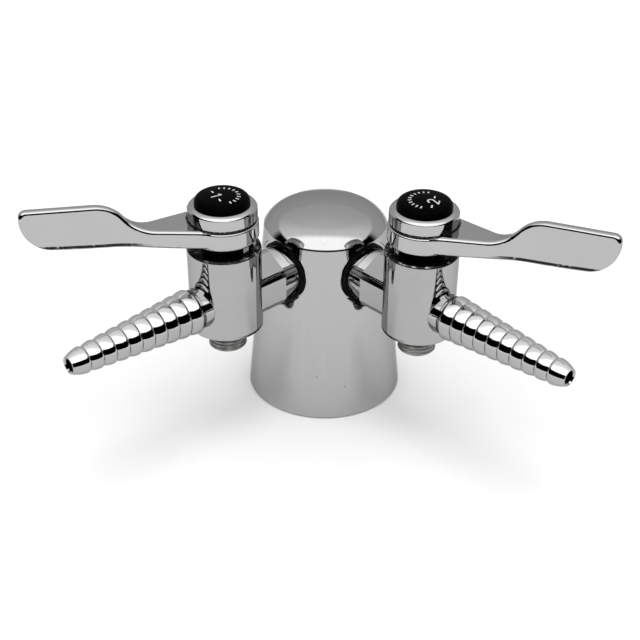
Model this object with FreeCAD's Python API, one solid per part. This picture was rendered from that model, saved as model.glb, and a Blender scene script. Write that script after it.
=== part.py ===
import FreeCAD, Part
import math
import os

from FreeCAD import Vector

os.makedirs("parts", exist_ok=True)

# Laboratory turret tap: a tapered turret that carries two quarter-turn ball valves, each with a
# lever handle and a serrated hose nozzle. Millimetres, +Z up, the turret's axis on Z and its foot
# on z = 0. The valves stand at the front, left and right of -Y.

# Clearances
running_clearance = 0.05
thread_clearance = 0.03
face_gap = 0.05

# Ports of the turret; every height on a valve is counted from the height of the ports
port_height = 56.9
spot_face_radius = 12.3
spot_face_distance = 21.0
port_thread_radius = 8.43
port_thread_depth = 9.0
port_bore_radius = 4.0

# Turret
foot_radius = 30.0
edge_radius = 23.1
edge_above_spot_face = 0.4
dome_rise = 8.5
dome_crown_radius = 48.0
dome_edge_slope = 60.0
dome_crease_radius = 0.5
foot_chamfer = 0.5
turret_wall = 3.5
column_radius = 12.0
core_roof = 5.5
foot_width = 6.0
foot_thickness = 4.0
inlet_thread_radius = 8.43
inlet_thread_length = 13.0
riser_radius = 4.5

# Foot gasket
gasket_inner_radius = 25.6
gasket_width = 2.8
gasket_thickness = 1.5

# Port washer
washer_thread_clearance = 0.17
washer_width = 2.5
washer_thickness = 1.0

# Inlet nipple
collar_radius = 10.2
collar_edge_radius = 0.4
collar_length = 7.1
waterway_radius = 3.2
nipple_end_clearance = 0.7

# Ball and seats
ball_radius = 7.0
ball_bore_clearance = 0.35
seat_depth = 4.0
seat_backing = 1.2
ball_slot_width = 2.7
ball_slot_depth = 1.6

# Valve body
valve_distance = 48.5
body_radius = 13.05
body_floor = 3.9
body_top_round = 1.0
body_bottom_round = 0.6
neck_wall = 3.05
neck_corner_height = 0.9
neck_trim_height = 0.3

# Stem
stem_radius = 3.5
stem_flange_width = 1.1
stem_flange_thickness = 1.6
stem_flange_lift = 0.6
stem_chamber_clearance = 0.2
thrust_washer_thickness = 0.9
ring_groove_width = 1.9
ring_groove_depth = 1.25
ring_land = 0.6
ring_count = 2
ring_corner_radius = 0.5
tang_width = 7.6
square_side = 4.9
square_end_clearance = 0.3
tapped_depth = 11.0

# Stem nut
nut_thread_radius = 6.0
nut_thread_length = 4.7
nut_flange_radius = 7.4
nut_flange_height = 2.7
nut_flats = 13.5

# Handle hub
hub_radius = 12.4
hub_nut_clearance = 0.4
hub_bottom_round = 1.6
hub_groove_rise = 7.5
hub_groove_depth = 0.9
hub_groove_width = 1.1
hub_lip_round = 0.7
hub_ring_step = 0.35
hub_crown_width = 2.15
hub_crown_height = 1.3
hub_crown_bulge = 0.39
hub_floor_thickness = 6.8
screw_pocket_depth = 2.9
button_seat_depth = 3.3

# Stop pin and the two lugs that meet it
stop_pin_radius = 1.2
stop_pin_circle = 10.1
stop_pin_depth = 4.0
stop_pin_end_clearance = 0.5
stop_travel = 90.0
stop_lug_width = 2.4
stop_lug_clearance = 0.7
stop_lug_inner_radius = 8.7

# Lever arm and blade, heights above the chord of the underside, which climbs from the hub
lever_tilt = 3.8
lever_root = 5.0
lever_root_rise = 0.95
underside_sag = 0.75
arm_depth = 5.7
arm_slope = 2.7
blade_depth = 14.8
shoulder_middle = 34.5
shoulder_curve_radius = 13.3
tip_corner_radius = 2.6
heel_start = 57.4
heel_radius = 11.6
root_half_width = 10.4
hub_web_fillet = 12.0
web_taper = 16.7
waist_radius = 30.0
blade_half_thickness = 1.6
lever_edge_round = 1.2

# Handle screw
screw_radius = 1.75
screw_head_width = 1.45
screw_head_height = 2.3
screw_length = 9.5
screw_slot_width = 0.9
screw_slot_depth = 1.0

# Index button
button_radius = 9.6
button_rim_height = 0.95
button_rise = 3.55
button_crown_radius = 50.0
button_edge_slope = 80.0
button_skirt_radius = 7.15
button_skirt_wall = 1.4
button_skirt_drop = 1.5
button_hollow_rise = 0.1

# Nozzle
nozzle_recess_depth = 2.1
nozzle_thread_radius = 6.2
shoulder_radius = 7.3
shoulder_length = 3.5
root_groove_radius = 6.4
root_groove_length = 1.1
barb_count = 10
barb_pitch = 4.84
barb_rise_length = 1.6
barb_depth = 0.65
first_barb_radius = 8.2
last_barb_radius = 4.7
nose_length = 4.7
nose_radius = 3.1
nozzle_bore_radius = 2.25
nozzle_mouth_chamfer = 0.4

# Bottom plug
plug_radius = 6.85
plug_thread_pitch = 1.41
plug_thread_depth = 0.45
plug_showing = 8.5
plug_ball_clearance = 0.9
plug_hole_step = 0.25
plug_key_across_flats = 6.35
plug_key_depth = 5.0

# Places that follow: along a port
edge_height = port_height + spot_face_radius + edge_above_spot_face
core_height = port_height - port_thread_radius - core_roof
collar_start = spot_face_distance + washer_thickness
joint_distance = collar_start + collar_length
ball_bore_radius = ball_radius + ball_bore_clearance
seat_outer_offset = ball_radius + seat_backing
neck_flat_radius = ball_bore_radius + neck_wall
neck_corner_radius = neck_flat_radius + neck_corner_height
nozzle_seat_offset = body_radius - nozzle_recess_depth

# Places that follow: down from the ball
body_bottom = port_height - ball_bore_radius - body_floor
plug_top = port_height - ball_radius - plug_ball_clearance
plug_bottom = body_bottom - plug_showing
plug_hole_radius = plug_radius - plug_hole_step

# Places that follow: up from the ball to the button
stem_flange_bottom = port_height + ball_radius + stem_flange_lift
stem_flange_top = stem_flange_bottom + stem_flange_thickness
chamber_top = stem_flange_top + thrust_washer_thickness + 2 * face_gap
ring_pitch = ring_groove_width + ring_land
nut_recess_bottom = chamber_top + ring_count * ring_pitch + ring_land
body_top = nut_recess_bottom + nut_thread_length
nut_top = body_top + nut_flange_height
hub_bottom = nut_top + hub_nut_clearance
hub_floor = hub_bottom + hub_floor_thickness
hub_groove_height = hub_bottom + hub_groove_rise
button_seat_height = hub_floor + screw_pocket_depth
hub_top = button_seat_height + button_seat_depth
square_top = hub_floor - square_end_clearance
lever_root_height = hub_bottom + lever_root_rise
stop_lug_bottom = body_top + stop_lug_clearance
hub_ring_radius = hub_radius - hub_ring_step
button_seat_radius = button_radius + running_clearance
screw_pocket_radius = button_skirt_radius + running_clearance

# Side name, direction of the port, lever's turn from the nozzle, stop pin's place on the body
sides = (
    ("left", 225.0, -25.0, 135.0),
    ("right", 315.0, 18.0, 225.0),
)


def rod(radius, low, high):
    """Upright cylinder between two heights."""
    return Part.makeCylinder(radius, high - low, Vector(0, 0, low))


def tube(outer, inner, low, high):
    """Upright hollow cylinder between two heights."""
    return rod(outer, low, high).cut(rod(inner, low, high))


def lay(shape):
    """Turn +Z into +X and lift the shape to the height of the ports."""
    laid = shape.copy()
    laid.rotate(Vector(0, 0, 0), Vector(0, 1, 0), 90)
    laid.translate(Vector(0, 0, port_height))
    return laid


def edges_along(outline, place):
    """Edges of an outline. A step is a point, or a pair of points: an arc through one to the other."""
    edges = []
    here = place(*outline[0])
    for step in outline[1:]:
        if isinstance(step[0], tuple):
            middle = place(*step[0])
            there = place(*step[1])
            edges.append(Part.Arc(here, middle, there).toShape())
        else:
            there = place(*step)
            edges.append(Part.makeLine(here, there))
        here = there
    edges.append(Part.makeLine(here, place(*outline[0])))
    return edges


def turned(outline):
    """Solid turned about Z from steps of (radius, height)."""
    wire = Part.Wire(edges_along(outline, lambda radius, height: Vector(radius, 0, height)))
    return Part.Face(wire).revolve(Vector(0, 0, 0), Vector(0, 0, 1), 360)


def dome_knuckle(edge, rise, crown, slope):
    """Radius of the arc that joins a crown arc to an edge of the given slope."""
    depth = crown - rise
    turn = math.radians(slope)
    above = edge ** 2 + depth ** 2 - crown ** 2
    below = 2 * (edge * math.sin(turn) + depth * math.cos(turn) - crown)
    return above / below


def dome_steps(edge, height, rise, crown, slope):
    """Two tangent arcs from a round edge at a height up to the axis."""
    knuckle = dome_knuckle(edge, rise, crown, slope)
    turn = math.radians(slope)
    centre_r = edge - knuckle * math.sin(turn)
    centre_z = height - knuckle * math.cos(turn)
    crown_z = height + rise - crown
    join = math.atan2(centre_r, centre_z - crown_z)
    half = (turn + join) / 2
    knuckle_middle = (centre_r + knuckle * math.sin(half), centre_z + knuckle * math.cos(half))
    meeting = (crown * math.sin(join), crown_z + crown * math.cos(join))
    crown_middle = (crown * math.sin(join / 2), crown_z + crown * math.cos(join / 2))
    return [(knuckle_middle, meeting), (crown_middle, (0, height + rise))]


def wall_radius(height):
    """Outer radius of the tapered wall."""
    return foot_radius - (foot_radius - edge_radius) * height / edge_height


def turret_body():
    """Tapered and domed casting with its riser, two ports and a cored foot."""
    foot = [(0, 0), (foot_radius - foot_chamfer, 0), (foot_radius, foot_chamfer)]
    outline = foot + [(edge_radius, edge_height)]
    outline += dome_steps(edge_radius, edge_height, dome_rise, dome_crown_radius, dome_edge_slope)
    body = turned(outline)
    crease = [edge for edge in body.Edges if is_circle_at(edge, edge_radius, edge_height)]
    body = body.makeFillet(dome_crease_radius, crease)
    foot_inner = foot_radius - foot_width
    core = turned([
        (column_radius, 0),
        (foot_inner, 0),
        (foot_inner, foot_thickness),
        (wall_radius(foot_thickness) - turret_wall, foot_thickness + turret_wall),
        (wall_radius(core_height) - turret_wall, core_height),
        (column_radius, core_height),
    ])
    gasket_outer = gasket_inner_radius + gasket_width
    groove = tube(gasket_outer + face_gap, gasket_inner_radius - face_gap, 0, gasket_thickness)
    riser_tip = (0, port_height + 2 * riser_radius)
    riser = turned([(0, 0), (riser_radius, 0), (riser_radius, port_height + riser_radius), riser_tip])
    body = body.cut(core).cut(groove).cut(riser).cut(rod(inlet_thread_radius, 0, inlet_thread_length))
    for name, port_angle, lever_turn, pin_angle in sides:
        port = lay(rod(spot_face_radius, spot_face_distance, foot_radius))
        port = port.fuse(lay(rod(port_thread_radius, spot_face_distance - port_thread_depth, foot_radius)))
        port = port.fuse(lay(rod(port_bore_radius, 0, foot_radius)))
        port.rotate(Vector(0, 0, 0), Vector(0, 0, 1), port_angle)
        body = body.cut(port)
    return body


def is_circle_at(edge, radius, height):
    """True for a full circle about the turret's axis at this radius and height."""
    if edge.Degenerated or not isinstance(edge.Curve, Part.Circle):
        return False
    same_height = abs(edge.Curve.Center.z - height) < 0.001
    return same_height and abs(edge.Curve.Radius - radius) < 0.001


def base_gasket():
    """Flat ring in the groove of the foot, flush with the foot's face."""
    outer = gasket_inner_radius + gasket_width
    return tube(outer, gasket_inner_radius, 0, gasket_thickness - face_gap)


def port_washer():
    """Sealing washer between the spot face and the nipple's collar."""
    inner = port_thread_radius + washer_thread_clearance
    ring = tube(inner + washer_width, inner, face_gap, washer_thickness - face_gap)
    ring.translate(Vector(0, 0, spot_face_distance))
    return lay(ring)


def inlet_nipple():
    """Threaded tailpiece with a round collar; its inner end holds the inlet seat."""
    turret_end = spot_face_distance - port_thread_depth + nipple_end_clearance
    valve_end = valve_distance - seat_outer_offset - face_gap
    outline = [
        (waterway_radius, turret_end),
        (port_thread_radius - thread_clearance, turret_end),
        (port_thread_radius - thread_clearance, collar_start),
        (collar_radius - collar_edge_radius, collar_start),
        (collar_radius, collar_start + collar_edge_radius),
        (collar_radius, joint_distance - face_gap),
        (ball_bore_radius - thread_clearance, joint_distance - face_gap),
        (ball_bore_radius - thread_clearance, valve_end),
        (waterway_radius, valve_end),
    ]
    return lay(turned(outline))


def valve_body(pin_angle):
    """Upright round body with a hexagonal inlet neck, bored for the ball, stem, nozzle and plug."""
    inset = body_bottom_round * (1 - math.sqrt(0.5))
    barrel = turned([
        (0, body_bottom),
        (body_radius - body_bottom_round, body_bottom),
        ((body_radius - inset, body_bottom + inset), (body_radius, body_bottom + body_bottom_round)),
        (body_radius, body_top - body_top_round),
        (rounded(body_radius, body_top, body_top_round), (body_radius - body_top_round, body_top)),
        (0, body_top),
    ])
    barrel.translate(Vector(valve_distance, 0, 0))
    neck = prism(6, 2 * neck_flat_radius, joint_distance, valve_distance)
    neck.rotate(Vector(0, 0, 0), Vector(0, 0, 1), 30)
    neck = lay(neck.common(rod(neck_corner_radius, joint_distance, valve_distance)))
    trimmed_bottom = body_bottom + body_bottom_round + neck_trim_height
    above = Part.makeBox(valve_distance, 2 * foot_radius, body_top - trimmed_bottom)
    above.translate(Vector(0, -foot_radius, trimmed_bottom))
    casting = barrel.fuse(neck.common(above))
    outside = valve_distance + body_radius + 1
    bores = lay(rod(ball_bore_radius, joint_distance, valve_distance + seat_outer_offset))
    bores = bores.fuse(lay(rod(nozzle_thread_radius, valve_distance, outside)))
    bores = bores.fuse(lay(rod(shoulder_radius + face_gap, valve_distance + nozzle_seat_offset, outside)))
    chamber_radius = stem_radius + stem_flange_width + stem_chamber_clearance
    upright = rod(chamber_radius, port_height, chamber_top)
    upright = upright.fuse(rod(stem_radius + running_clearance, port_height, body_top))
    upright = upright.fuse(rod(nut_thread_radius, nut_recess_bottom, body_top))
    upright = upright.fuse(rod(plug_hole_radius, body_bottom, port_height))
    pin_hole = rod(stop_pin_radius, body_top - stop_pin_depth, body_top)
    pin_hole.translate(Vector(stop_pin_circle, 0, 0))
    pin_hole.rotate(Vector(0, 0, 0), Vector(0, 0, 1), pin_angle)
    upright = upright.fuse(pin_hole)
    upright.translate(Vector(valve_distance, 0, 0))
    return casting.cut(bores).cut(upright)


def rounded(radius, height, round_radius):
    """Middle point of the quarter round on an outer top corner."""
    inset = round_radius * (1 - math.sqrt(0.5))
    return (radius - inset, height - inset)


def seat(direction):
    """Seat ring on the inlet side (-1) or the outlet side (1) of the ball."""
    outer = ball_bore_radius - thread_clearance
    ring = tube(outer, waterway_radius, seat_outer_offset - seat_depth, seat_outer_offset - face_gap)
    ring = ring.cut(Part.makeSphere(ball_radius + running_clearance))
    if direction < 0:
        ring.rotate(Vector(0, 0, 0), Vector(1, 0, 0), 180)
    ring.translate(Vector(0, 0, valve_distance))
    return lay(ring)


def nozzle():
    """Serrated hose nozzle that screws into the body and stands on its shoulder."""
    start = valve_distance + seat_outer_offset + 4 * face_gap
    seat_face = valve_distance + nozzle_seat_offset + face_gap
    shoulder_end = seat_face + shoulder_length
    place = shoulder_end + root_groove_length
    outline = [
        (nozzle_bore_radius, start),
        (nozzle_thread_radius - thread_clearance, start),
        (nozzle_thread_radius - thread_clearance, seat_face),
        (shoulder_radius, seat_face),
        (shoulder_radius, shoulder_end),
        (root_groove_radius, shoulder_end),
        (root_groove_radius, place),
        (first_barb_radius - barb_depth, place),
    ]
    taper = (first_barb_radius - last_barb_radius) / (barb_count - 1)
    for number in range(barb_count):
        crest = first_barb_radius - taper * number
        low = crest - barb_depth
        rise_middle = (crest - 0.25 * barb_depth, place + 0.35 * barb_rise_length)
        outline.append((rise_middle, (crest, place + barb_rise_length)))
        if number < barb_count - 1:
            fall_end = place + barb_pitch
            fall_middle = (crest - 0.33 * (barb_depth + taper), place + 0.7 * barb_pitch)
            outline.append((fall_middle, (low - taper, fall_end)))
            place = fall_end
    tip = place + barb_rise_length + nose_length
    nose_middle = ((last_barb_radius + nose_radius) / 2 + 0.25, tip - nose_length / 2)
    outline.append((nose_middle, (nose_radius, tip)))
    outline.append((nozzle_bore_radius + nozzle_mouth_chamfer, tip))
    outline.append((nozzle_bore_radius, tip - nozzle_mouth_chamfer))
    return lay(turned(outline))


def bottom_plug():
    """Threaded plug below the body, with a key socket in its end."""
    outline = [(0, plug_bottom), (plug_radius - plug_thread_depth, plug_bottom)]
    threads = int((body_bottom - plug_bottom - face_gap) / plug_thread_pitch)
    for number in range(threads):
        place = plug_bottom + number * plug_thread_pitch
        outline.append((plug_radius, place + 0.35 * plug_thread_pitch))
        outline.append((plug_radius, place + 0.65 * plug_thread_pitch))
        outline.append((plug_radius - plug_thread_depth, place + plug_thread_pitch))
    outline.append((plug_radius - plug_thread_depth, body_bottom - face_gap))
    outline.append((plug_hole_radius - thread_clearance, body_bottom - face_gap))
    outline.append((plug_hole_radius - thread_clearance, plug_top))
    outline.append((0, plug_top))
    plug = turned(outline).cut(prism(6, plug_key_across_flats, plug_bottom, plug_bottom + plug_key_depth))
    plug.translate(Vector(valve_distance, 0, 0))
    return plug


def prism(flats, across, low, high):
    """Upright regular prism about Z, measured across its flats."""
    corner = across / 2 / math.cos(math.pi / flats)
    turns = [math.pi * (2 * index + 1) / flats for index in range(flats)]
    points = [Vector(corner * math.cos(turn), corner * math.sin(turn), low) for turn in turns]
    face = Part.Face(Part.makePolygon(points + [points[0]]))
    return face.extrude(Vector(0, 0, high - low))


def stem_nut():
    """Nut that guides the stem: a threaded skirt under a round flange with two flats."""
    skirt = rod(nut_thread_radius - thread_clearance, nut_recess_bottom + face_gap, body_top + face_gap)
    flange = rod(nut_flange_radius, body_top + face_gap, nut_top)
    keep = Part.makeBox(2 * nut_flange_radius, nut_flats, nut_top)
    keep.translate(Vector(-nut_flange_radius, -nut_flats / 2, 0))
    nut = skirt.fuse(flange.common(keep))
    nut = nut.cut(rod(stem_radius + running_clearance, nut_recess_bottom, nut_top))
    nut.translate(Vector(valve_distance, 0, 0))
    return nut


def stop_pin(pin_angle):
    """Pin pressed into the top of the body, which the lugs of the hub run against."""
    low = body_top - stop_pin_depth + face_gap
    pin = rod(stop_pin_radius - thread_clearance, low, hub_bottom - stop_pin_end_clearance)
    pin.translate(Vector(stop_pin_circle, 0, 0))
    pin.rotate(Vector(0, 0, 0), Vector(0, 0, 1), pin_angle)
    pin.translate(Vector(valve_distance, 0, 0))
    return pin


def ball():
    """Ball with its waterway along the lever and a slot across it for the stem."""
    sphere = Part.makeSphere(ball_radius)
    bore = rod(waterway_radius, -ball_radius, ball_radius)
    bore.rotate(Vector(0, 0, 0), Vector(0, 1, 0), 90)
    slot = Part.makeBox(ball_slot_width, 2 * ball_radius, 2 * ball_slot_depth)
    slot.translate(Vector(-ball_slot_width / 2, -ball_radius, ball_radius - ball_slot_depth))
    drilled = sphere.cut(bore).cut(slot)
    drilled.translate(Vector(0, 0, port_height))
    return drilled


def stem():
    """Stem with its tang, flange, two ring grooves, square and tapped end."""
    tang_bottom = port_height + ball_radius - ball_slot_depth + face_gap
    tang_thickness = ball_slot_width - 2 * running_clearance
    tang = Part.makeBox(tang_thickness, tang_width, stem_flange_bottom - tang_bottom)
    tang.translate(Vector(-tang_thickness / 2, -tang_width / 2, tang_bottom))
    square_bottom = hub_bottom - face_gap
    shaft = rod(stem_radius + stem_flange_width, stem_flange_bottom, stem_flange_top)
    shaft = shaft.fuse(rod(stem_radius, stem_flange_top, square_bottom)).fuse(tang)
    square = prism(4, square_side, square_bottom, square_top)
    shaft = shaft.fuse(square.common(rod(stem_radius, square_bottom, square_top)))
    for low in ring_grooves():
        root = stem_radius - ring_groove_depth
        shaft = shaft.cut(tube(stem_radius + stem_flange_width, root, low, low + ring_groove_width))
    return shaft.cut(rod(screw_radius + thread_clearance, square_top - tapped_depth, square_top))


def ring_grooves():
    """Heights of the lower side of each ring groove."""
    return [chamber_top + ring_land + number * ring_pitch for number in range(ring_count)]


def stem_rings():
    """Sealing rings that ride in the grooves of the stem."""
    rings = []
    for low in ring_grooves():
        outer = stem_radius + running_clearance / 2
        inner = stem_radius - ring_groove_depth + face_gap
        ring = tube(outer, inner, low + face_gap, low + ring_groove_width - face_gap)
        rim = [edge for edge in ring.Edges if isinstance(edge.Curve, Part.Circle)]
        rings.append(ring.makeFillet(ring_corner_radius, rim))
    return Part.makeCompound(rings)


def thrust_washer():
    """Washer between the stem's flange and the roof of its chamber."""
    low = stem_flange_top + face_gap
    outer = stem_radius + stem_flange_width + stem_chamber_clearance - running_clearance
    return tube(outer, stem_radius + running_clearance, low, low + thrust_washer_thickness)


def lever_side():
    """Side outline of arm and blade before it is tilted: (reach, height) steps, all tangent."""
    half_step = (blade_depth - arm_depth) / 2
    turn = math.acos(1 - half_step / shoulder_curve_radius)
    spread = shoulder_curve_radius * math.sin(turn)
    half_reach = shoulder_curve_radius * math.sin(turn / 2)
    half_lift = shoulder_curve_radius * (1 - math.cos(turn / 2))
    corner = tip_corner_radius * (1 - math.sqrt(0.5))
    half_run = (heel_start - lever_root) / 2
    climb = 2 * math.atan(underside_sag / half_run)
    heel_reach = heel_start - heel_radius * math.sin(climb)
    heel_height = heel_radius * math.cos(climb)
    heel_turn = (math.pi / 2 - climb) / 2
    tip = heel_reach + heel_radius
    slope = math.radians(arm_slope)
    foot_reach = shoulder_middle - spread - shoulder_curve_radius * math.sin(slope)
    foot_lift = arm_depth + shoulder_curve_radius * (1 - math.cos(slope))
    return [
        (lever_root, 0),
        ((lever_root + half_run, -underside_sag), (heel_start, 0)),
        (
            (heel_reach + heel_radius * math.cos(heel_turn), heel_height - heel_radius * math.sin(heel_turn)),
            (tip, heel_height),
        ),
        (tip, blade_depth - tip_corner_radius),
        ((tip - corner, blade_depth - corner), (tip - tip_corner_radius, blade_depth)),
        (shoulder_middle + spread, blade_depth),
        (
            (shoulder_middle + spread - half_reach, blade_depth - half_lift),
            (shoulder_middle, arm_depth + half_step),
        ),
        (
            (shoulder_middle - spread + half_reach, arm_depth + half_lift),
            (foot_reach, foot_lift),
        ),
        (lever_root, foot_lift + (foot_reach - lever_root) * math.tan(slope)),
    ]


def web_touch():
    """Centre and two ends of the fillet in plan between the round hub and the web's straight side."""
    taper = math.radians(web_taper)
    out = Vector(math.sin(taper), math.cos(taper), 0)
    along = Vector(math.cos(taper), -math.sin(taper), 0)
    side_distance = out.dot(Vector(lever_root, root_half_width, 0))
    hub_reach = hub_radius - face_gap + hub_web_fillet
    slide = math.sqrt(hub_reach ** 2 - (side_distance + hub_web_fillet) ** 2)
    centre = out * (side_distance + hub_web_fillet) + along * slide
    on_hub = centre * ((hub_radius - face_gap) / hub_reach)
    on_web = out * side_distance + along * slide
    return centre, on_hub, on_web


def lever_plan():
    """Plan outline of arm and blade: (reach, sideways) steps, a web that flares into the hub."""
    taper = math.radians(web_taper)
    tangent = waist_radius * math.tan(taper / 2)
    crossing = lever_root + (root_half_width - blade_half_thickness) / math.tan(taper)
    waist_end = crossing + tangent
    waist_start = crossing - tangent * math.cos(taper)
    start_half = blade_half_thickness + tangent * math.sin(taper)
    middle_reach = waist_end - waist_radius * math.sin(taper / 2)
    middle_half = blade_half_thickness + waist_radius * (1 - math.cos(taper / 2))
    beyond = heel_start + 2 * heel_radius
    centre, on_hub, on_web = web_touch()
    flare = centre + ((on_hub + on_web) / 2 - centre).normalize() * hub_web_fillet
    return [
        (on_hub.x, -on_hub.y),
        ((flare.x, -flare.y), (on_web.x, -on_web.y)),
        (waist_start, -start_half),
        ((middle_reach, -middle_half), (waist_end, -blade_half_thickness)),
        (beyond, -blade_half_thickness),
        (beyond, blade_half_thickness),
        (waist_end, blade_half_thickness),
        ((middle_reach, middle_half), (waist_start, start_half)),
        (on_web.x, on_web.y),
        ((flare.x, flare.y), (on_hub.x, on_hub.y)),
    ]


def lever():
    """Arm and blade: the side outline and the plan outline cut to their common solid."""
    side_wire = edges_along(lever_side(), lambda reach, lift: Vector(reach, 0, lever_root_height + lift))
    side_face = Part.Face(Part.Wire(side_wire))
    side_face.rotate(Vector(lever_root, 0, lever_root_height), Vector(0, -1, 0), lever_tilt)
    side_face.translate(Vector(0, -hub_radius, 0))
    side_prism = side_face.extrude(Vector(0, 2 * hub_radius, 0))
    low = lever_root_height - 2
    plan_wire = edges_along(lever_plan(), lambda reach, sideways: Vector(reach, sideways, low))
    plan_prism = Part.Face(Part.Wire(plan_wire)).extrude(Vector(0, 0, 3 * blade_depth))
    bar = side_prism.common(plan_prism)
    long_edges = [edge for edge in bar.Edges if is_lever_rim(edge)]
    return bar.makeFillet(lever_edge_round, long_edges)


def is_lever_rim(edge):
    """True for the edges that run along the lever, not across it or at its root."""
    start = edge.valueAt(edge.FirstParameter)
    end = edge.valueAt(edge.LastParameter)
    at_root = max(start.x, end.x) < web_touch()[1].x + face_gap
    crossing = abs(start.y + end.y) < 0.01
    seam = abs(start.x - end.x) < 0.01 and start.x < heel_start
    return not (at_root or crossing or seam)


def hub():
    """Round hub with a groove, a crowned top, a pocket for the screw and a seat for the button."""
    groove_low = hub_groove_height - hub_groove_width / 2
    groove_high = hub_groove_height + hub_groove_width / 2
    groove_radius = hub_ring_radius - hub_groove_depth
    round_inset = hub_bottom_round * (1 - math.sqrt(0.5))
    crown_slant = math.hypot(hub_crown_width, hub_crown_height)
    crown_middle = (
        hub_ring_radius - hub_crown_width / 2 + hub_crown_bulge * hub_crown_height / crown_slant,
        hub_top - hub_crown_height / 2 + hub_crown_bulge * hub_crown_width / crown_slant,
    )
    return turned([
        (0, hub_bottom),
        (hub_radius - hub_bottom_round, hub_bottom),
        ((hub_radius - round_inset, hub_bottom + round_inset), (hub_radius, hub_bottom + hub_bottom_round)),
        (hub_radius, groove_low - hub_lip_round),
        (rounded(hub_radius, groove_low, hub_lip_round), (hub_radius - hub_lip_round, groove_low)),
        (groove_radius, groove_low),
        (groove_radius, groove_high),
        (hub_ring_radius, groove_high),
        (hub_ring_radius, hub_top - hub_crown_height),
        (crown_middle, (hub_ring_radius - hub_crown_width, hub_top)),
        (button_seat_radius, hub_top),
        (button_seat_radius, button_seat_height),
        (screw_pocket_radius, button_seat_height),
        (screw_pocket_radius, hub_floor),
        (0, hub_floor),
    ])


def stop_lugs():
    """Two lugs under the hub, a quarter turn and a pin's width apart."""
    pin_half_angle = math.degrees(math.asin((stop_pin_radius + running_clearance) / stop_pin_circle))
    lug_angle = math.degrees(stop_lug_width / stop_pin_circle)
    gap_start = 180 - stop_travel / 2 - pin_half_angle
    gap_end = 180 + stop_travel / 2 + pin_half_angle
    lugs = []
    for first in (gap_start - lug_angle, gap_end):
        outer = Part.makeCylinder(
            hub_radius - hub_bottom_round,
            hub_bottom + face_gap - stop_lug_bottom,
            Vector(0, 0, stop_lug_bottom),
            Vector(0, 0, 1),
            lug_angle,
        )
        outer.rotate(Vector(0, 0, 0), Vector(0, 0, 1), first)
        lugs.append(outer.cut(rod(stop_lug_inner_radius, stop_lug_bottom, hub_floor)))
    return lugs


def handle():
    """Lever handle in one casting: hub, arm, blade and stop lugs, with a square hole for the stem."""
    casting = hub().fuse(lever())
    for lug in stop_lugs():
        casting = casting.fuse(lug)
    pocket = rod(screw_pocket_radius, hub_floor, button_seat_height)
    pocket = pocket.fuse(rod(button_seat_radius, button_seat_height, hub_top + 1))
    casting = casting.cut(pocket)
    hole = prism(4, square_side + 2 * running_clearance, stop_lug_bottom, hub_floor)
    return casting.cut(hole).removeSplitter()


def handle_screw():
    """Slotted screw that holds the hub on the stem."""
    head_bottom = hub_floor + face_gap
    head_top = head_bottom + screw_head_height
    screw = rod(screw_radius, head_bottom - screw_length, head_bottom)
    head_radius = screw_radius + screw_head_width
    head = rod(head_radius, head_bottom, head_top)
    rim = [edge for edge in head.Edges if is_circle_at(edge, head_radius, head_top)]
    slot = Part.makeBox(2 * head_radius, screw_slot_width, screw_slot_depth)
    slot.translate(Vector(-head_radius, -screw_slot_width / 2, head_top - screw_slot_depth))
    return screw.fuse(head.makeFillet(screw_slot_depth, rim)).cut(slot)


def index_button():
    """Domed button that snaps into the hub over the screw."""
    seat_face = button_seat_height + face_gap
    rim_top = hub_top + button_rim_height
    skirt_inner = button_skirt_radius - button_skirt_wall
    dome = dome_steps(
        button_radius, rim_top, button_rise - button_rim_height, button_crown_radius, button_edge_slope
    )
    outline = [
        (skirt_inner, button_seat_height - button_skirt_drop),
        (button_skirt_radius, button_seat_height - button_skirt_drop),
        (button_skirt_radius, seat_face),
        (button_radius, seat_face),
        (button_radius, rim_top),
    ]
    outline += dome
    hollow_top = hub_top + button_hollow_rise
    outline += [(0, hollow_top), (skirt_inner, hollow_top)]
    return turned(outline)


def on_port(shape, port_angle):
    """Turn a piece built along +X to its port."""
    placed = shape.copy()
    placed.rotate(Vector(0, 0, 0), Vector(0, 0, 1), port_angle)
    return placed


def on_stem(shape, port_angle, lever_turn):
    """Turn a piece built about Z with its lever, then move it to the valve's axis."""
    placed = shape.copy()
    placed.rotate(Vector(0, 0, 0), Vector(0, 0, 1), lever_turn)
    placed.translate(Vector(valve_distance, 0, 0))
    return on_port(placed, port_angle)


nodes = {
    "turret_body": turret_body(),
    "base_gasket": base_gasket(),
}
for side, port_angle, lever_turn, pin_angle in sides:
    fixed = {
        "port_washer": port_washer(),
        "inlet_nipple": inlet_nipple(),
        "valve_body": valve_body(pin_angle),
        "inlet_seat": seat(-1),
        "outlet_seat": seat(1),
        "stem_nut": stem_nut(),
        "stop_pin": stop_pin(pin_angle),
        "bottom_plug": bottom_plug(),
        "hose_nozzle": nozzle(),
    }
    turning = {
        "ball": ball(),
        "stem": stem(),
        "stem_rings": stem_rings(),
        "thrust_washer": thrust_washer(),
        "handle": handle(),
        "handle_screw": handle_screw(),
        "index_button": index_button(),
    }
    for piece, shape in fixed.items():
        nodes[side + "_" + piece] = on_port(shape, port_angle)
    for piece, shape in turning.items():
        nodes[side + "_" + piece] = on_stem(shape, port_angle, lever_turn)

for name, shape in nodes.items():
    shape.exportStep("parts/" + name + ".step")
    print(name, round(shape.Volume, 1), len(shape.Solids), shape.isValid())
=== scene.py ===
import bpy
import math
from mathutils import Matrix, Vector
from mathutils.bvhtree import BVHTree


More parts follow.
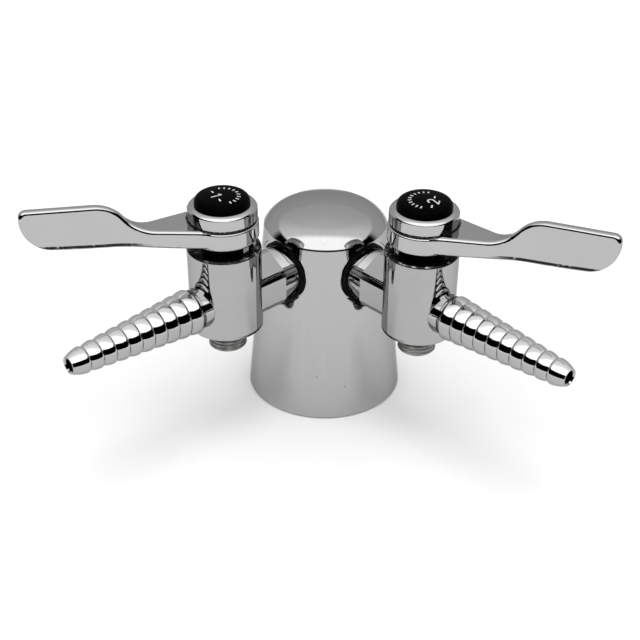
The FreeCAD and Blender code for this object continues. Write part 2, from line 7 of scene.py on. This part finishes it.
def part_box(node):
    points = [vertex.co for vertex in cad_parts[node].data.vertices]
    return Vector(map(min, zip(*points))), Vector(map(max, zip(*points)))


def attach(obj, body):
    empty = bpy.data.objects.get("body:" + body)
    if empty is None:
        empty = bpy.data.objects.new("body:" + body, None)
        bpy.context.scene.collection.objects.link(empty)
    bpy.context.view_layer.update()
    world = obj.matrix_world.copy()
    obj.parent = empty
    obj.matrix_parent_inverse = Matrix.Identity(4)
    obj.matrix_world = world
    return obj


# A laboratory turret tap: a domed turret carries two quarter-turn valves, each with a lever
# handle over a serrated hose nozzle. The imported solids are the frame, and here they get their
# plating, plastics and rubbers, and the buttons their printed marks. Lengths are in metres.
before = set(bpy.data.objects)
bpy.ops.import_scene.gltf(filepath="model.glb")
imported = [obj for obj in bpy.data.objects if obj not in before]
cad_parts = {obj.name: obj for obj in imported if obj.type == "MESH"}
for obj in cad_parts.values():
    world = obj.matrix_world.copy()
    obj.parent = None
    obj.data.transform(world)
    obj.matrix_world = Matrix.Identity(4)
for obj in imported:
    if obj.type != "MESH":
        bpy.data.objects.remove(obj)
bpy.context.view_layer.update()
sides = ("left", "right")


# Turret body
# A brass casting turned to a taper under a low dome, polished upright on a mop and chrome plated.
# Faint strokes run up the wall, a few pits show through, and the crease under the dome is painted
# dark on its front side as painted shade.

class Value:
    """A socket of a finish's nodes, used like a number."""

    def __init__(self, finish, socket):
        self.finish = finish
        self.socket = socket

    def math(self, operation, other=0.0):
        return self.finish.node("ShaderNodeMath", {"operation": operation}, {0: self, 1: other})

    def __add__(self, other):
        return self.math("ADD", other)

    def __sub__(self, other):
        return self.math("SUBTRACT", other)

    def __rsub__(self, other):
        return self.math("MULTIPLY", -1.0) + other

    def __mul__(self, other):
        return self.math("MULTIPLY", other)

    __radd__ = __add__
    __rmul__ = __mul__

    def band(self, low, high):
        """Smooth step from 0 at low to 1 at high."""
        ends = {"Value": self, "From Min": low, "From Max": high}
        return self.finish.node("ShaderNodeMapRange", {"interpolation_type": "SMOOTHSTEP"}, ends)

    def between(self, low, full_from, full_to, high):
        """Smooth step up from low, 1 from full_from to full_to, and smooth step down to high."""
        return self.band(low, full_from) * (1 - self.band(full_to, high))

    def ripple(self, rate):
        """A wave from 0 to 1 and back along the value."""
        return (self * rate).math("SINE") * 0.5 + 0.5

    def part(self, axis):
        """One coordinate of a point or direction."""
        return self.finish.node("ShaderNodeSeparateXYZ", {}, {0: self}, axis)


class Nodes:
    """A tree of shader nodes, of a finish or of the world."""

    def __init__(self, tree):
        self.tree = tree

    def node(self, kind, settings, inputs, output=0):
        """Add a node: its settings first, then the values or links of its sockets."""
        node = self.tree.nodes.new(kind)
        for key, setting in settings.items():
            setattr(node, key, setting)
        for key, value in inputs.items():
            self.feed(node.inputs[key], value)
        return Value(self, node.outputs[output])

    def vector(self, operation, *vectors, output=0):
        """Work on vectors. A dot product is output 1."""
        inputs = dict(enumerate(vectors))
        return self.node("ShaderNodeVectorMath", {"operation": operation}, inputs, output)

    def feed(self, socket, value):
        if isinstance(value, Value):
            self.tree.links.new(value.socket, socket)
        else:
            socket.default_value = value


class Finish(Nodes):
    """A material whose nodes are written as expressions."""

    def __init__(self, name, **sockets):
        self.material = bpy.data.materials.new(name)
        self.material.use_nodes = True
        super().__init__(self.material.node_tree)
        self.shader = self.tree.nodes["Principled BSDF"]
        self.set(**sockets)

    def set(self, **sockets):
        """Set or link sockets of the shader, with _ for a space in a name."""
        for name, value in sockets.items():
            self.feed(self.shader.inputs[name.replace("_", " ")], value)

    def blend(self, share, below, above):
        """A grey or colour between two others."""
        ends = [(end,) * 3 + (1,) if isinstance(end, float) else end for end in (below, above)]
        inputs = {0: share, 6: ends[0], 7: ends[1]}
        return self.node("ShaderNodeMix", {"data_type": "RGBA"}, inputs, 2)

    def place(self):
        """The point on the piece."""
        return self.node("ShaderNodeTexCoord", {}, {}, "Object")

    def along(self, direction, origin=(0, 0, 0)):
        """How far the point lies along a direction from an origin."""
        away = self.vector("SUBTRACT", self.place(), origin)
        return self.vector("DOT_PRODUCT", away, direction, output=1)

    def noise(self, scale, detail, stretch=(1, 1, 1)):
        """Noise over the piece, from 0 to 1, with its grain drawn out along an axis."""
        where = self.vector("MULTIPLY", self.place(), stretch)
        inputs = {"Vector": where, "Scale": scale, "Detail": detail}
        return self.node("ShaderNodeTexNoise", {}, inputs)

    def specks(self, scale, size):
        """Sparse round specks, 1 inside them."""
        inputs = {"Vector": self.place(), "Scale": scale, "Randomness": 1.0}
        return 1 - self.node("ShaderNodeTexVoronoi", {}, inputs).band(size * 0.6, size)

    def relief(self, height, depth, below=None):
        """Bump of a height map, as deep as depth, over another bump."""
        inputs = {"Height": height, "Distance": depth, "Strength": 1.0}
        if below:
            inputs["Normal"] = below
        return self.node("ShaderNodeBump", {}, inputs)


class Plating(Finish):
    """Chrome over polished brass: the waves of the polishing, a fine grit and a wiped haze."""

    def __init__(self, name, waves, wave_depth, waves_drawn=(1, 1, 1), grit=0.000003):
        super().__init__(name, Metallic=1.0, Specular_Tint=(0.6, 0.6, 0.6, 1))
        self.haze = self.noise(110, 5)
        self.wiping = self.haze.band(0.35, 0.8) * 0.05
        polishing = self.relief(self.noise(waves, 1, waves_drawn), wave_depth)
        self.swell = self.relief(self.noise(1100, 2), grit, polishing)


def coat(piece, finish):
    """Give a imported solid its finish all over."""
    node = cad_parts[piece]
    node.data.materials.clear()
    node.data.materials.append(finish.material)


turret_chrome = Plating("turret_chrome", 45, 0.00012, waves_drawn=(1, 1, 0.25), grit=0.000001)
strokes = turret_chrome.noise(700, 3, (1, 1, 0.03))
pits = turret_chrome.specks(95, 0.035)
height = turret_chrome.along((0, 0, 1))
forward = turret_chrome.along((0, -1, 0))
# Painted shade: a dark line in the crease under the dome, on its front side only.
painted_crease_shade = height.between(0.0690, 0.0692, 0.0697, 0.0699) * forward.band(0.012, 0.018)
plate = turret_chrome.blend(strokes, 0.41, 0.44)
turret_chrome.set(
    Base_Color=turret_chrome.blend(pits * 0.2 + painted_crease_shade, plate, 0.02),
    Roughness=turret_chrome.wiping + strokes.band(0.5, 0.8) * 0.05 + pits * 0.3 + 0.035)
pitted = turret_chrome.relief(1 - pits, 0.00004, turret_chrome.swell)
turret_chrome.set(Normal=turret_chrome.relief(strokes, 0.0000025, pitted))
coat("turret_body", turret_chrome)


# Foot gasket and port washers
# Rings cut from black rubber sheet. The gasket seals the foot on the bench, and the washers sit
# in the turret's spot faces, squeezed by the collars of the nipples. Their skin is dull and dusty.

rubber = Finish("black_rubber", Specular_IOR_Level=0.12)
bloom = rubber.noise(500, 4)
rubber.set(Base_Color=rubber.blend(bloom, 0.002, 0.008), Roughness=bloom * 0.25 + 0.45)
rubber.set(Normal=rubber.relief(rubber.noise(2500, 2), 0.00003))
coat("base_gasket", rubber)
for side in sides:
    coat(side + "_port_washer", rubber)


# Inlet nipples and hose nozzles
# Brass bar turned on a lathe and plated, so fine tool rings run round them. The nozzle has ten
# barbs that fall towards the tip. The plating is soft over their crests, and its upper side is
# painted brighter as a painted highlight.

def bearing(turn):
    """The level direction at a turn in degrees, counted from the tap's right."""
    return Vector((math.cos(math.radians(turn)), math.sin(math.radians(turn)), 0))


for side, port_turn in (("left", 225), ("right", 315)):
    turned_chrome = Plating(side + "_turned_chrome", 160, 0.00006, grit=0.000007)
    rings = turned_chrome.along(bearing(port_turn)).ripple(15000)
    patches = turned_chrome.noise(260, 3)
    # Painted highlight: the colour lightens towards 0.62 where the surface faces up.
    painted_top_highlight = turned_chrome.node("ShaderNodeTexCoord", {}, {}, "Normal").part("Z")
    plate = turned_chrome.blend(turned_chrome.haze, 0.39, 0.42)
    turned_chrome.set(
        Base_Color=turned_chrome.blend(painted_top_highlight.band(0.1, 0.4), plate, 0.62),
        Roughness=turned_chrome.wiping + 0.04,
        Normal=turned_chrome.relief(rings * patches, 0.0000012, turned_chrome.swell))
    coat(side + "_inlet_nipple", turned_chrome)
    coat(side + "_hose_nozzle", turned_chrome)


# Valve bodies
# Brass castings with a hexagon neck that screws on the nipple, ground round and plated. Grease
# roughens the top face, which is painted near black in blotches as painted shade and dark
# reflection of the hub's underside, and a painted dark line of shade runs round the lower edge on
# the side of the turret.

body_chrome = Plating("body_chrome", 85, 0.00012)
pits = body_chrome.specks(130, 0.03)
height = body_chrome.along((0, 0, 1))
outward = body_chrome.along((1, 0, 0)).math("ABSOLUTE")
# Painted shade: the top face under the hub goes near black in blotches. The same mask makes it
# rougher, for grease.
painted_top_shade_and_grease = height.band(0.0766, 0.0770) * body_chrome.noise(420, 4).band(0.25, 0.5)
# Painted shade: a dark line along the lower edge, only on the side towards the turret.
painted_edge_shade = (1 - height.band(0.0467, 0.0471)) * (1 - outward.band(0.024, 0.031))
plate = body_chrome.blend(body_chrome.haze, 0.37, 0.41)
body_chrome.set(
    Base_Color=body_chrome.blend(painted_top_shade_and_grease + painted_edge_shade, plate, 0.015),
    Roughness=body_chrome.wiping + pits * 0.3 + painted_top_shade_and_grease * 0.35 + 0.035,
    Normal=body_chrome.relief(1 - pits, 0.00004, body_chrome.swell))
for side in sides:
    coat(side + "_valve_body", body_chrome)


# Seats, thrust washers and balls
# White seat plastic turned from rod holds the ball from both sides and carries the stem's flange.
# The ball is brass with a hard chrome skin, lapped without waves.

seat_plastic = Finish("seat_plastic")
mottle = seat_plastic.noise(400, 3)
seat_plastic.set(
    Base_Color=seat_plastic.blend(mottle, (0.76, 0.75, 0.71, 1), (0.84, 0.83, 0.80, 1)),
    Roughness=mottle * 0.2 + 0.35)
ball_chrome = Finish("ball_chrome", Metallic=1.0)
lapping = ball_chrome.noise(1500, 3)
ball_chrome.set(Base_Color=ball_chrome.blend(lapping, 0.52, 0.56), Roughness=lapping * 0.08 + 0.06)
for side in sides:
    coat(side + "_inlet_seat", seat_plastic)
    coat(side + "_outlet_seat", seat_plastic)
    coat(side + "_thrust_washer", seat_plastic)
    coat(side + "_ball", ball_chrome)


# Stems and their rings
# Brass bar turned and milled square at its top, greased, with two rubber rings in its grooves.
# It turns the ball below and carries the handle above.

stem_brass = Finish("stem_brass", Metallic=1.0)
tarnish = stem_brass.noise(220, 5)
tool_rings = stem_brass.along((0, 0, 1)).ripple(12000)
stem_brass.set(
    Base_Color=stem_brass.blend(tarnish, (0.62, 0.45, 0.2, 1), (0.76, 0.58, 0.29, 1)),
    Roughness=tarnish * 0.2 + 0.2,
    Normal=stem_brass.relief(tool_rings, 0.000003))
for side in sides:
    coat(side + "_stem", stem_brass)
    coat(side + "_stem_rings", rubber)


# Stem nuts
# A hexagon nut turned from bar and coloured near black, screwed into the body under the hub, with
# blotches where grease and dust gather. It closes the gap between hub and body.

nut_black = Finish("nut_black", Metallic=0.6, Specular_IOR_Level=0.3)
blotches = nut_black.noise(350, 5)
nut_black.set(Base_Color=nut_black.blend(blotches, 0.02, 0.05), Roughness=blotches * 0.3 + 0.35)
nut_black.set(Normal=nut_black.relief(blotches, 0.00005))
for side in sides:
    coat(side + "_stem_nut", nut_black)


# Stop pins and handle screws
# Plain stainless steel. The pin is pressed into the body's top and stops the two lugs of the
# hub, and the screw holds the handle on the square of the stem.

steel = Finish("plain_steel", Metallic=1.0)
grain = steel.noise(900, 4, (1, 1, 0.1))
steel.set(Base_Color=steel.blend(grain, 0.42, 0.52), Roughness=grain * 0.2 + 0.25)
steel.set(Normal=steel.relief(grain, 0.000008))
for side in sides:
    coat(side + "_stop_pin", steel)
    coat(side + "_handle_screw", steel)


# Handles
# One brass casting each: a round hub, a web that waists to a flat blade, ground and plated. The
# blade's lower front edge has a dark, rough and bumpy band, and the hub's groove is painted dark
# in blotches as painted shade.

hub_foot = 0.0815
edge_start, edge_slope = 0.005, 0.0664
edge_middle, halves_per_metre, edge_sag = 0.0312, 38.2, 0.00075

for side, arm_turn, front in (("left", 200, 1), ("right", 333, -1)):
    handle_chrome = Plating(side + "_handle_chrome", 80, 0.00013)
    low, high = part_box(side + "_stem")
    root = ((low[0] + high[0]) / 2, (low[1] + high[1]) / 2, hub_foot)
    arm = bearing(arm_turn)
    out = handle_chrome.along(arm, root)
    rise = handle_chrome.along((0, 0, 1), root)
    behind = handle_chrome.along((front * arm.y, -front * arm.x, 0), root)
    bow = (out - edge_middle) * halves_per_metre
    over_edge = rise - (out - edge_start) * edge_slope + (1 - bow * bow) * edge_sag
    scale = handle_chrome.noise(900, 4)
    # A dark, rough and bumpy band along the blade's lower edge, on its front side only.
    dark_edge_band = over_edge.between(0.0005, 0.0008, 0.0013, 0.0018) * out.band(0.024, 0.034)
    dark_edge_band = dark_edge_band * (1 - behind.band(-0.0004, 0.0004)) * scale.band(0.3, 0.45)
    off_axis = (out * out + behind * behind).math("SQRT")
    # Painted shade: the hub's groove is darkened in blotches.
    painted_groove_shade = rise.between(0.0058, 0.0062, 0.0068, 0.0072) * (1 - off_axis.band(0.0125, 0.0128))
    blotches = painted_groove_shade * scale.band(0.3, 0.5)
    plate = handle_chrome.blend(handle_chrome.haze, 0.43, 0.47)
    handle_chrome.set(
        Base_Color=handle_chrome.blend(dark_edge_band + blotches, plate, 0.03),
        Roughness=handle_chrome.wiping + dark_edge_band * 0.5 + blotches * 0.4 + 0.035,
        Normal=handle_chrome.relief(scale * dark_edge_band, 0.0002, handle_chrome.swell))
    coat(side + "_handle", handle_chrome)


# Index buttons
# Black moulded caps that snap into the hubs over the screws. The crown is printed in white with
# the outlet's number between two dashes and a part ring of ticks for the quarter turn.

button_black = Finish("button_black", Specular_IOR_Level=0.01)
moulding = button_black.noise(600, 4)
scuffs = button_black.noise(1400, 6, (1, 0.2, 1)).band(0.62, 0.75)
button_black.set(
    Base_Color=button_black.blend(scuffs, 0.001, 0.004),
    Roughness=moulding * 0.15 + scuffs * 0.15 + 0.3,
    Normal=button_black.relief(moulding, 0.00001))
print_white = Finish("print_white")
ink = print_white.noise(4000, 3)
print_white.set(
    Base_Color=print_white.blend(ink.band(0.35, 0.5), 0.3, 0.62),
    Roughness=ink * 0.2 + 0.45)


def stroke(points, width):
    """Corners and faces of a flat stroke along a line of points."""
    fine = []
    for start, end in zip(points, points[1:]):
        steps = max(1, math.ceil((end - start).length / 0.25))
        fine += [start.lerp(end, step / steps) for step in range(steps)]
    fine.append(points[-1])
    corners = []
    for index, point in enumerate(fine):
        before = fine[max(index - 1, 0)]
        after = fine[min(index + 1, len(fine) - 1)]
        side_step = (after - before).orthogonal().normalized() * width / 2
        corners += [point - side_step, point, point + side_step]
    faces = []
    for row in range(len(fine) - 1):
        for column in (0, 1):
            corner = 3 * row + column
            faces.append((corner, corner + 1, corner + 4, corner + 3))
    return corners, faces


def arc(radius, first, last, centre=(0, 0), steps=12):
    """Points of an arc between two turns in degrees."""
    angles = [math.radians(first + (last - first) * step / steps) for step in range(steps + 1)]
    x, y = centre
    return [(x + radius * math.cos(angle), y + radius * math.sin(angle)) for angle in angles]


# The print is drawn flat, in millimetres from the crown's middle, and then laid on the crown.
numerals = {
    "left": [(-0.45, 0.55), (0.1, 1.0), (0.1, -1.0)],
    "right": arc(0.6, 165, -35, (0, 0.4)) + [(-0.62, -1.0), (0.65, -1.0)],
}
numeral_size, line_width = 1.9, 0.5
dash_middle, dash_half = 3.3, 0.8
tick_centre, tick_start, tick_end = Vector((0.3, -1.3)), 5.0, 6.2
print_lift, print_thickness = 0.00003, 0.00004

for side, text_turn, text_place, ticks in (
        ("left", -62, Vector((-1.7, -1.85)), range(-55, 108, 18)),
        ("right", 79, Vector((2.6, -2.7)), range(80, 251, 17))):
    coat(side + "_index_button", button_black)
    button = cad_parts[side + "_index_button"].data
    crown = BVHTree.FromPolygons(
        [corner.co.copy() for corner in button.vertices],
        [face.vertices[:] for face in button.polygons])
    low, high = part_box(side + "_index_button")
    middle = Vector([(near + far) / 2 for near, far in zip(low, high)])
    reading = Matrix.Rotation(math.radians(text_turn), 2)
    lines = [[reading @ Vector(point) * numeral_size + text_place for point in numerals[side]]]
    for dash in (-dash_middle, dash_middle):
        ends = [(dash - dash_half, 0), (dash + dash_half, 0)]
        lines.append([reading @ Vector(point) + text_place for point in ends])
    for tick in ticks:
        out = bearing(tick).to_2d()
        lines.append([out * tick_start + tick_centre, out * tick_end + tick_centre])
    corners, faces = [], []
    for points in lines:
        more, patches = stroke(points, line_width)
        faces += [tuple(corner + len(corners) for corner in patch) for patch in patches]
        corners += more
    draped = []
    for corner in corners:
        above = Vector((middle.x + corner.x / 1000, middle.y + corner.y / 1000, high[2] + 0.01))
        spot = crown.ray_cast(above, Vector((0, 0, -1)))[0]
        draped.append(spot + Vector((0, 0, print_lift)))
    mesh = bpy.data.meshes.new(side + "_button_print")
    mesh.from_pydata(draped, [], faces)
    mesh.materials.append(print_white.material)
    marks = bpy.data.objects.new(side + "_button_print", mesh)
    bpy.context.scene.collection.objects.link(marks)
    marks.modifiers.new("ink", "SOLIDIFY").thickness = print_thickness
    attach(marks, side + "_lever")


# Bottom plugs
# Pipe plugs with a hexagon socket that close the balls' bores from below. Their open thread is
# unplated, dull and smeared with sealing paste.

plug_metal = Finish("plug_metal", Metallic=1.0)
paste = plug_metal.noise(300, 5)
smear = paste.band(0.35, 0.65)
plug_metal.set(
    Base_Color=plug_metal.blend(smear, (0.17, 0.17, 0.165, 1), (0.36, 0.36, 0.35, 1)),
    Roughness=paste * 0.3 + 0.35,
    Normal=plug_metal.relief(plug_metal.noise(1200, 3), 0.00004))
for side in sides:
    coat(side + "_bottom_plug", plug_metal)


# Floor
# A round sheet of white paper that the tap stands on. It fills the chrome's lower half and keeps
# the tap's soft shadow.

def staged(name, corners, faces, finish):
    """A piece of the studio, which isn't part of the tap."""
    mesh = bpy.data.meshes.new(name)
    mesh.from_pydata(corners, [], faces)
    mesh.materials.append(finish.material)
    piece = bpy.data.objects.new(name, mesh)
    bpy.context.scene.collection.objects.link(piece)
    return piece


def hoop(radius, count, centre=(0, 0)):
    """A number of points evenly round a circle."""
    return arc(radius, 0, 360 - 360 / count, centre, count - 1)


def seen_rays(nodes):
    """1 for rays of the camera, of reflections and through glass."""
    camera, glossy, through = [
        nodes.node("ShaderNodeLightPath", {}, {}, "Is " + ray + " Ray")
        for ray in ("Camera", "Glossy", "Transmission")]
    return camera + glossy + through


paper = Finish("floor_paper", Roughness=1.0, Specular_IOR_Level=0.0, Emission_Strength=1.0)
fibre = paper.noise(60, 3)
glow = paper.blend(seen_rays(paper), 0.0, 0.06)
paper.set(Base_Color=paper.blend(fibre, 0.79, 0.81), Emission_Color=glow)
floor_radius, rim_points, floor_middle = 0.5, 144, (0, 0.08)
rim = [(x, y, 0) for x, y in hoop(floor_radius, rim_points, floor_middle)]
staged("floor", rim, [tuple(range(rim_points))], paper)


# Studio light
# A round tent, brightest high at the front and greyer behind, but dark low down all round the
# front to draw the chrome's black lines. A broad lamp overhead isn't seen in the chrome.

tent = Finish("tent_cloth", Base_Color=(0, 0, 0, 1), Roughness=1.0, Specular_IOR_Level=0.0)
direction = tent.vector("NORMALIZE", tent.place())
level_direction = tent.vector("NORMALIZE", tent.vector("MULTIPLY", tent.place(), (1, 1, 0)))
climb = direction.part("Z").math("ARCSINE") * math.degrees(1)
back_turn = level_direction.part("Y")
back_lean = direction.part("Y")
wall = back_turn.band(0.10, 0.38) * 0.63
canopy = 0.7 + (1 - back_lean.band(0.0, 0.8)) * 0.42 + (1 - back_lean.band(-0.32, 0.0)) * 1.05
cloth = wall + climb.band(30, 35) * (canopy - wall)
glow = tent.node("ShaderNodeCombineColor", {}, {0: cloth, 1: cloth, 2: cloth})
tent.set(Emission_Color=glow, Emission_Strength=1.0)

tent_radius, rows, row_drop, columns = 8, 11, 10, 24
corners = [(0, 0, tent_radius)]
for row in range(1, rows + 1):
    drop = math.radians(row_drop * row)
    ring = hoop(tent_radius * math.sin(drop), columns)
    corners += [(x, y, tent_radius * math.cos(drop)) for x, y in ring]
faces = [(0, 1 + column, 1 + (column + 1) % columns) for column in range(columns)]
for row in range(rows - 1):
    first = 1 + row * columns
    below = first + columns
    for column in range(columns):
        beside = (column + 1) % columns
        faces.append((first + column, below + column, below + beside, first + beside))
hood = staged("tent", corners, faces, tent)
hood.visible_camera = False

lamp = bpy.data.objects.new("overhead_lamp", bpy.data.lights.new("overhead_lamp", "AREA"))
lamp.data.shape = "DISK"
lamp.data.size = 1.5
lamp.data.energy = 23
lamp.location = (0.15, -0.45, 2.95)
lamp.visible_glossy = False
bpy.context.scene.collection.objects.link(lamp)

world = bpy.data.worlds.new("studio")
bpy.context.scene.world = world
world.use_nodes = True
sky = Nodes(world.node_tree)
plain = sky.node("ShaderNodeBackground", {}, {"Color": (0.8, 0.8, 0.8, 1)})
white = sky.node("ShaderNodeBackground", {}, {"Color": (1, 1, 1, 1)})
choice = sky.node("ShaderNodeMixShader", {}, {0: seen_rays(sky), 1: plain, 2: white})
sky.feed(sky.tree.nodes["World Output"].inputs["Surface"], choice)


# Camera
# It stands in front, a third of a right angle above the floor, and looks at the turret's foot.
# Its lens comes from the focal length in pixels of a picture 640 pixels wide.

azimuth, elevation, roll = math.radians(1.679), math.radians(32.122), math.radians(0.434)
distance, side_shift, aim_height = 0.456951, -0.001781, 0.025981
sensor_width, focal_pixels, picture_width = 36, 1158.48, 640

backward = Vector((
    math.sin(azimuth) * math.cos(elevation),
    -math.cos(azimuth) * math.cos(elevation),
    math.sin(elevation)))
right = Vector((math.cos(azimuth), math.sin(azimuth), 0))
up = backward.cross(right)
turned_right = right * math.cos(roll) + up * math.sin(roll)
turned_up = up * math.cos(roll) - right * math.sin(roll)
axes = Matrix((turned_right, turned_up, backward)).transposed()
stand = right * side_shift + Vector((0, 0, aim_height)) + backward * distance
camera = bpy.data.objects.new("camera", bpy.data.cameras.new("camera"))
bpy.context.scene.collection.objects.link(camera)
bpy.context.scene.camera = camera
camera.data.lens = sensor_width * focal_pixels / picture_width
camera.data.clip_start = 0.01
camera.data.clip_end = 30
camera.matrix_world = Matrix.Translation(stand) @ axes.to_4x4()
bpy.context.scene.view_settings.view_transform = "Standard"
